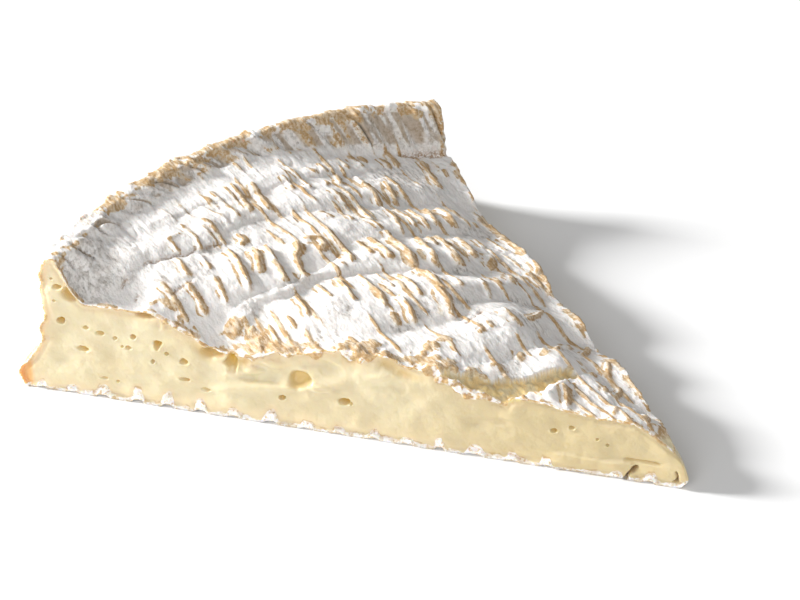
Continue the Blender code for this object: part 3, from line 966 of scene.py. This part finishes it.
def rounded_tip(points):
    """Draw the tip back along the front cut from the wheel's centre; its soft foot bulges forward."""
    x, z = points[:, 0], np.maximum(points[:, 2], 0)
    setback = SETBACK_LOW + SETBACK_GROWTH * z ** 1.15
    drawn = np.where(x < 0, -np.sqrt(x * x + setback ** 2), -setback)
    full = ramp(-2.0, 3.5, z) * (1 - ramp(5.5, 18.0, z))
    drawn += NOSE_PUSH * full * np.exp(-(x / 8.0) ** 2)
    points[:, 1] += 0.5 * (drawn - x) * math.tan(HALF_ANGLE)
    points[:, 0] = drawn
    return points


class Surface:
    """The wedge's mesh as it grows: its points, triangles, their material slots, and the marks."""

    def __init__(self, points, faces, rind_marks):
        self.points, self.faces, self.slots = points, faces, np.zeros(len(faces), int)
        self.marks = {name: np.zeros(len(points)) for name in MARKS}
        for name, values in rind_marks.items():
            self.marks[name][:len(values)] = values

    def fill(self, loop, inner, faces, slot, marks):
        """Close a loop of points with inner points and triangles that number the loop first."""
        lookup = np.r_[loop, len(self.points) + np.arange(len(inner))]
        self.faces = np.concatenate([self.faces, lookup[faces]])
        self.slots = np.r_[self.slots, np.full(len(faces), slot)]
        self.points = np.concatenate([self.points, inner])
        for name in MARKS:
            self.marks[name] = np.r_[self.marks[name], marks.get(name, np.zeros(len(inner)))]


def fill_bottom(surface, loop):
    """Close the bottom, with the mould in its grooves."""
    outline = surface.points[loop][:, :2]
    inner = hex_grid(outline.min(0), outline.max(0), BOTTOM_STEP)
    inner = inner[inside_outline(inner, outline)]
    inner = inner[nearest(inner, outline)[0] > 0.8]
    low = groove(*inner.T, MOULD_FILL)
    marks = {"wear": (1 - ramp(0.1, 0.8, low)) * 0.8}
    surface.fill(loop, np.c_[inner, low], triangulate(outline, inner, flip=True), 0, marks)


def wedge_mesh():
    """The closed wedge: the rind, then the bottom and the two cut faces inside their loops."""
    rind, faces, side_rows, top_count, rind_marks = shaped_rind()
    front_edge, back_edge = bottom_edges()
    tip_z = np.linspace(0, rind[0, 2], int(rind[0, 2] / 0.5) + 1)[1:-1]
    tip = np.c_[0 * tip_z, 0 * tip_z, tip_z]
    parts = [rind, front_edge, back_edge, tip]
    starts = np.cumsum([len(part) for part in parts])
    front_ids, back_ids, tip_ids = (np.arange(a, b) for a, b in zip(starts, starts[1:]))
    surface = Surface(np.concatenate(parts), faces, rind_marks)
    surface.marks["edge"][tip_ids] = WELL_INSIDE

    rows = np.arange(ROWS + 1)
    side_base = top_count + np.arange(side_rows) * (ROWS + 1)
    top_front = rows * (rows + 1) // 2
    fill_bottom(surface, np.r_[side_base[-1] + rows, back_ids, front_ids[::-1]])
    front_rind = np.r_[top_front, side_base, front_ids]
    back_rind = np.r_[top_front + rows, side_base + ROWS, back_ids, front_ids[-1]]
    for side_sign, step, ids in ((-1, FRONT_STEP, front_rind), (1, BACK_STEP, back_rind)):
        loop = np.r_[ids, tip_ids]
        count = len(ids) - (side_sign == 1)
        inner, faces, marks = cut_face(surface.points, loop, count, side_sign, step)
        surface.fill(loop, inner, faces, 1, marks)
    surface.points = rounded_tip(surface.points)
    return surface


def cheese_object():
    """The wedge as an object in the frame, with its marks as attributes."""
    wedge = wedge_mesh()
    place = (wedge.points + (CENTRE_X, 0, 0)) * MM + (0, 0, CAD_LOW.z)
    count = len(wedge.faces)
    mesh = bpy.data.meshes.new("cheese")
    mesh.vertices.add(len(place))
    mesh.vertices.foreach_set("co", place.ravel())
    mesh.loops.add(count * 3)
    mesh.loops.foreach_set("vertex_index", wedge.faces.ravel())
    mesh.polygons.add(count)
    mesh.polygons.foreach_set("loop_start", np.arange(count) * 3)
    mesh.update(calc_edges=True)
    mesh.polygons.foreach_set("material_index", wedge.slots)
    mesh.polygons.foreach_set("use_smooth", np.ones(count, bool))
    for name, values in wedge.marks.items():
        mesh.attributes.new(name, "FLOAT", "POINT").data.foreach_set("value", values)
    print("cheese:", len(place), "points", count, "triangles")
    cheese = bpy.data.objects.new("cheese", mesh)
    bpy.context.scene.collection.objects.link(cheese)
    return cheese


# ---------------------------------------------------------------- materials
class Nodes:
    """Short names for making the nodes of one material."""

    def __init__(self, name):
        self.material = bpy.data.materials.new(name)
        self.material.use_nodes = True
        self.tree = self.material.node_tree
        self.shader = self.tree.nodes["Principled BSDF"]
        self.coordinates = self.new("TexCoord").outputs["Object"]

    def new(self, kind, **inputs):
        """A node with some inputs set or linked; an underscore stands for a space in their names."""
        node = self.tree.nodes.new("ShaderNode" + kind)
        self.put(node, **inputs)
        return node

    def put(self, node, **inputs):
        for name, value in inputs.items():
            self.link(value, node.inputs[name.replace("_", " ")])

    def link(self, source, target):
        if hasattr(source, "is_linked"):
            self.tree.links.new(source, target)
        else:
            target.default_value = source

    def mark(self, name):
        node = self.new("Attribute")
        node.attribute_name = name
        return node.outputs["Fac"]

    def noise(self, size_mm, detail=2.0, rough=0.5, stretch=None, turn=0.0):
        """Noise of about the given size, stretched along a heading where asked."""
        node = self.new("TexNoise", Scale=1 / (size_mm * MM), Detail=detail, Roughness=rough)
        source = self.coordinates
        if stretch:
            mapping = self.new("Mapping", Scale=[1 / v for v in stretch], Rotation=(0, 0, turn))
            mapping.vector_type = "TEXTURE"
            self.link(source, mapping.inputs["Vector"])
            source = mapping.outputs["Vector"]
        self.link(source, node.inputs["Vector"])
        return node.outputs["Fac"]

    def math(self, operation, *values):
        node = self.new("Math")
        node.operation = operation
        for value, socket in zip(values, node.inputs):
            self.link(value, socket)
        return node.outputs[0]

    def times(self, a, b):
        return self.math("MULTIPLY", a, b)

    def times_add(self, a, b, c):
        return self.math("MULTIPLY_ADD", a, b, c)

    def step(self, value, low, high):
        node = self.new("MapRange", Value=value, From_Min=low, From_Max=high)
        node.interpolation_type = "SMOOTHSTEP"
        return node.outputs["Result"]

    def mix(self, factor, a, b):
        node = self.new("Mix")
        node.data_type = "RGBA"
        self.put(node, Factor=factor, A=a, B=b)
        return node.outputs["Result"]

    def bump(self, heights):
        """Bump from (height, distance in mm) pairs, one on another."""
        below = {}
        for height, distance in heights:
            node = self.new("Bump", Distance=distance * MM, Strength=1.0, Height=height, **below)
            below = {"Normal": node.outputs["Normal"]}
        self.put(self.shader, **below)

    def soft(self, weight, radius_mm, specular):
        """Let light into the surface."""
        self.put(self.shader, Subsurface_Weight=weight, Subsurface_Radius=radius_mm,
                 Subsurface_Scale=MM, Specular_IOR_Level=specular)


WHITE = (0.90, 0.87, 0.84, 1)
CREAM = (0.87, 0.78, 0.62, 1)
# GREY, TAUPE and DARK_GREY paint shade on the rind, besides a random grey tone and the outer side's
# taupe
GREY = (0.46, 0.42, 0.375, 1)
TAUPE = (0.42, 0.315, 0.21, 1)
DARK_GREY = (0.22, 0.195, 0.17, 1)
TAN = (0.50, 0.315, 0.14, 1)
LIGHT_TAN = (0.66, 0.485, 0.275, 1)
BROWN = (0.33, 0.165, 0.05, 1)
PASTE = (0.77, 0.68, 0.46, 1)
PASTE_WARM = (0.70, 0.595, 0.38, 1)
# Darker paste towards the tip: painted shade
PASTE_TIP = (0.62, 0.53, 0.335, 1)
FOOT_ORANGE = (0.72, 0.40, 0.15, 1)
# Golden of the holes, which also paints shade in them and in the hollows, pockets and slit
PASTE_DEEP = (0.70, 0.43, 0.04, 1)
TORN = (0.88, 0.67, 0.32, 1)
PASTE_OUTER = (0.76, 0.63, 0.41, 1)


def white_mould(n, middle):
    """The mould's white, greyed where the mark grey says: streaked grey with dark grey specks, taupe
    and, in the inner wall's tucks, dark grey; most of it is painted shade, the rest a random grey tone
    and the outer side's taupe.
    """
    streaks = n.noise(1.3, 4, 0.65, stretch=(0.3, 1.0, 1.0), turn=MAT_HEADING)
    shade_and_grey_tone = n.times(n.mark("grey"), n.step(streaks, 0.40, 0.66))
    specks = n.step(n.noise(1.1, 3, 0.7), 0.52, 0.66)
    white = n.mix(n.times(n.step(middle, 0.45, 0.75), 0.12), WHITE, GREY)
    # Streaked painted shade, with dark grey specks in it
    white = n.mix(n.times(shade_and_grey_tone, 0.75), white, GREY)
    white = n.mix(n.times(n.times(shade_and_grey_tone, specks), 0.7), white, DARK_GREY)
    # Painted shade: taupe on the lip's inner wall (the outer side is taupe too), dark grey in its tucks
    white = n.mix(n.times(n.step(n.mark("grey"), 1.0, 1.4), 0.7), white, TAUPE)
    return n.mix(n.times(n.step(n.mark("grey"), 1.5, 2.4), 0.65), white, DARK_GREY)


def rind_material():
    """White mould, rubbed to tan where the mark wear says, greyed and browned with painted shade where
    the marks grey and dark say, and bare paste in the torn place.
    """
    n = Nodes("mould_rind")
    fine, middle = n.noise(0.7, 4, 0.6), n.noise(2.2, 3)
    fibres = n.noise(0.9, 4, 0.65, stretch=(0.22, 1.0, 1.0), turn=MAT_HEADING)
    wear = n.math("ADD", n.mark("wear"), n.times_add(fibres, 1.2, -0.6))
    wear = n.times_add(middle, 0.5, n.math("SUBTRACT", wear, 0.25))
    worn = n.step(wear, 0.25, 0.5)
    worn = n.times(worn, n.step(n.mark("wear"), 0.03, 0.25))
    white = white_mould(n, middle)
    white = n.mix(n.times(n.step(n.mark("wear"), 0.0, 0.5), 0.4), white, CREAM)
    tan = n.mix(n.step(fibres, 0.40, 0.62), LIGHT_TAN, TAN)
    crumb = n.step(n.noise(0.9, 2, 0.5), 0.60, 0.70)
    tan = n.mix(n.times(crumb, 0.5), tan, BROWN)
    dusting = n.times_add(n.step(fibres, 0.56, 0.40), -0.35, 0.95)
    colour = n.mix(n.times(worn, dusting), white, tan)
    # Brown where the mark dark says: the ridges' edges, partly painted shade, and painted shade in
    # cracks, the crease and under the torn rind
    dark = n.times(n.mark("dark"), n.step(fine, 0.38, 0.58))
    colour = n.mix(n.times(dark, 0.8), colour, BROWN)
    torn = n.mix(n.step(middle, 0.35, 0.65), TORN, PASTE_WARM)
    brownish = n.step(n.noise(3.5, 3), 0.45, 0.62)
    torn = n.mix(n.times(brownish, 0.3), torn, TAN)
    torn = n.mix(n.mark("deep"), PASTE, torn)
    colour = n.mix(n.mark("paste"), colour, torn)
    n.put(n.shader, Base_Color=colour, Roughness=n.times_add(worn, -0.3, 0.92))
    n.soft(0.35, (1.5, 1.2, 1.0), 0.3)
    brushed = n.noise(1.3, 4, 0.65, stretch=(0.4, 1.0, 1.0), turn=MAT_HEADING)
    n.bump([(n.noise(0.4, 3, 0.6), 0.09), (brushed, 0.45)])
    return n.material


def paste_material():
    """Creamy paste with the cut rind as a line where the mark edge is low; golden in its holes, partly
    painted shade, painted darker towards the tip and brown in the foot's cracks as painted shade.
    """
    n = Nodes("cheese_paste")
    fine, middle, coarse = n.noise(0.8, 3), n.noise(2.2, 3), n.noise(14.0, 3, 0.6)
    edge = n.times_add(n.math("SUBTRACT", middle, 0.5), 1.1, n.mark("edge"))
    edge = n.times_add(n.math("SUBTRACT", fine, 0.5), 0.6, edge)
    paste = n.mix(n.step(coarse, 0.38, 0.66), PASTE, PASTE_WARM)
    paste = n.mix(n.step(n.mark("edge"), 4.5, 0.9), paste, PASTE_OUTER)
    # Painted shade: the paste darker towards the tip
    paste = n.mix(n.times(n.mark("tip_shade"), 0.85), paste, PASTE_TIP)
    paste = n.mix(n.mark("foot"), paste, FOOT_ORANGE)
    # Golden where the mark deep says: partly the paste's colour in its holes, partly painted shade at
    # their upper sides, in hollows, pockets and the slit
    paste = n.mix(n.mark("deep"), paste, PASTE_DEEP)
    brown_line = n.times(n.step(edge, 0.25, 0.5), n.step(edge, 1.25, 0.7))
    broken = n.times(n.step(n.noise(3.0, 3, 0.6), 0.48, 0.68), 0.7)
    colour = n.mix(n.times(brown_line, broken), paste, TAN)
    rind = n.mix(n.step(fine, 0.35, 0.65), LIGHT_TAN, TAN)
    rind = n.mix(n.step(middle, 0.46, 0.60), rind, WHITE)
    rind = n.mix(n.mark("grey"), rind, n.mix(n.step(fine, 0.5, 0.68), WHITE, LIGHT_TAN))
    colour = n.mix(n.step(edge, 0.6, 0.3), colour, rind)
    # Painted shade: brown inside the foot's cracks
    colour = n.mix(n.times(n.mark("dark"), 0.75), colour, BROWN)
    n.put(n.shader, Base_Color=colour, Roughness=n.times_add(n.step(edge, 0.9, 0.4), 0.55, 0.3))
    n.soft(0.5, (2.4, 1.8, 0.9), 0.4)
    n.bump([(n.noise(1.0, 3, 0.5), 0.06), (n.noise(4.0, 3, 0.5), 0.35)])
    return n.material


# ---------------------------------------------------------------- camera, light, floor
CAMERA_FROM_CENTRE = (323.4, -495.9, 371.3)
CAMERA_AZIMUTH, CAMERA_DROP, CAMERA_ROLL = (math.radians(v) for v in (40.44, 28.455, 2.0))
CAMERA_LENS = 119.64
FLOOR_HALF, FLOOR_GAP = 3.0, 0.0001  # metres


def camera():
    """The photograph's viewpoint, with its slight roll."""
    a, drop, roll = CAMERA_AZIMUTH, CAMERA_DROP, CAMERA_ROLL
    forward = Vector((-math.sin(a) * math.cos(drop), math.cos(a) * math.cos(drop), -math.sin(drop)))
    right = Vector((math.cos(a), math.sin(a), 0))
    up = right.cross(forward)
    across = right * math.cos(roll) + up * math.sin(roll)
    upright = up * math.cos(roll) - right * math.sin(roll)
    data = bpy.data.cameras.new("camera")
    data.sensor_width = 36
    data.lens = CAMERA_LENS
    data.clip_start, data.clip_end = 0.01, 50
    obj = bpy.data.objects.new("camera", data)
    centre = Vector((CENTRE_X, 0, 0)) * MM
    turn = Matrix((across, upright, -forward)).transposed()
    obj.matrix_world = Matrix.Translation(centre + Vector(CAMERA_FROM_CENTRE) * MM) @ turn.to_4x4()
    bpy.context.scene.collection.objects.link(obj)
    bpy.context.scene.camera = obj


def area_light(name, heading, elevation, distance, size, power):
    """A square lamp that looks at the cheese. heading turns from the camera's right to its far side."""
    a, e = CAMERA_AZIMUTH + math.radians(heading), math.radians(elevation)
    away = Vector((math.cos(a) * math.cos(e), math.sin(a) * math.cos(e), math.sin(e)))
    data = bpy.data.lights.new(name, "AREA")
    data.size, data.energy = size, power
    lamp = bpy.data.objects.new(name, data)
    lamp.location = away * distance
    lamp.rotation_euler = away.to_track_quat("Z", "Y").to_euler()
    bpy.context.scene.collection.objects.link(lamp)


def floor():
    """A plain pale floor just under the wedge."""
    mesh = bpy.data.meshes.new("floor")
    corners = [(-1, -1), (1, -1), (1, 1), (-1, 1)]
    mesh.from_pydata([(a * FLOOR_HALF, b * FLOOR_HALF, 0) for a, b in corners], [], [(0, 1, 2, 3)])
    obj = bpy.data.objects.new("floor", mesh)
    obj.location.z = CAD_LOW.z - FLOOR_GAP
    material = bpy.data.materials.new("floor")
    material.use_nodes = True
    shader = material.node_tree.nodes["Principled BSDF"]
    shader.inputs["Base Color"].default_value = (0.93, 0.93, 0.93, 1)
    shader.inputs["Roughness"].default_value = 0.7
    mesh.materials.append(material)
    bpy.context.scene.collection.objects.link(obj)


def studio():
    """A strong low lamp behind and to the left, a weak one in front, and an even white sky."""
    area_light("key", heading=171, elevation=24.5, distance=4.0, size=0.85, power=275)
    area_light("fill", heading=250, elevation=28, distance=1.8, size=1.0, power=12.5)
    world = bpy.data.worlds.new("studio")
    world.use_nodes = True
    world.node_tree.nodes["Background"].inputs["Color"].default_value = (1, 1, 1, 1)
    world.node_tree.nodes["Background"].inputs["Strength"].default_value = 0.36
    bpy.context.scene.world = world
    bpy.context.scene.view_settings.view_transform = "Standard"


camera()
floor()
studio()
cheese = cheese_object()
cheese.data.materials.append(rind_material())
cheese.data.materials.append(paste_material())
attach(cheese, "root")
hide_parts(NODE)

bpy.context.view_layer.update()
